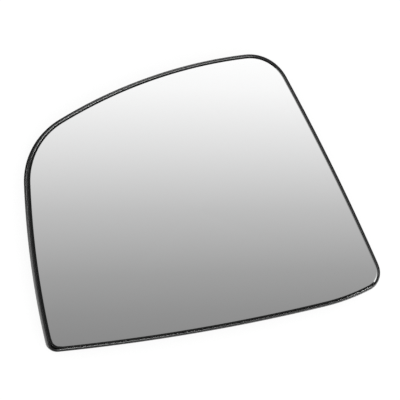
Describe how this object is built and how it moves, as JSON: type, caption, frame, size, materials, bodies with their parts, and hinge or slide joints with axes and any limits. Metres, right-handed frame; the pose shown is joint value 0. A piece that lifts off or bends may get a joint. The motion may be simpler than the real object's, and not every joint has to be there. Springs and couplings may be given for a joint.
{
  "type": "car door mirror glass",
  "caption": "Convex door mirror glass bonded to a black lipped backing plate with a clip ring, hooks and rod sockets behind.",
  "frame": {"origin": "centre of the clip ring's end face, the lowest plane of the part as it lies on its back", "axes": "+Z out of the mirror's face along the clip ring's axis, +X along the lower edge towards the pointed corner, +Y up the mirror as it hangs in its housing"},
  "size_m": [0.1777, 0.1347, 0.0138],
  "materials": {
    "silvered_glass": "silvered convex glass with a ground edge",
    "adhesive": "thin closed-cell foam with adhesive on both faces",
    "black_plastic": "black injection moulding, satin on the lip"
  },
  "bodies": {
    "root": {"mirror_glass": "silvered_glass", "adhesive_pad": "adhesive", "backing_plate": "black_plastic"}
  },
  "joints": []
}
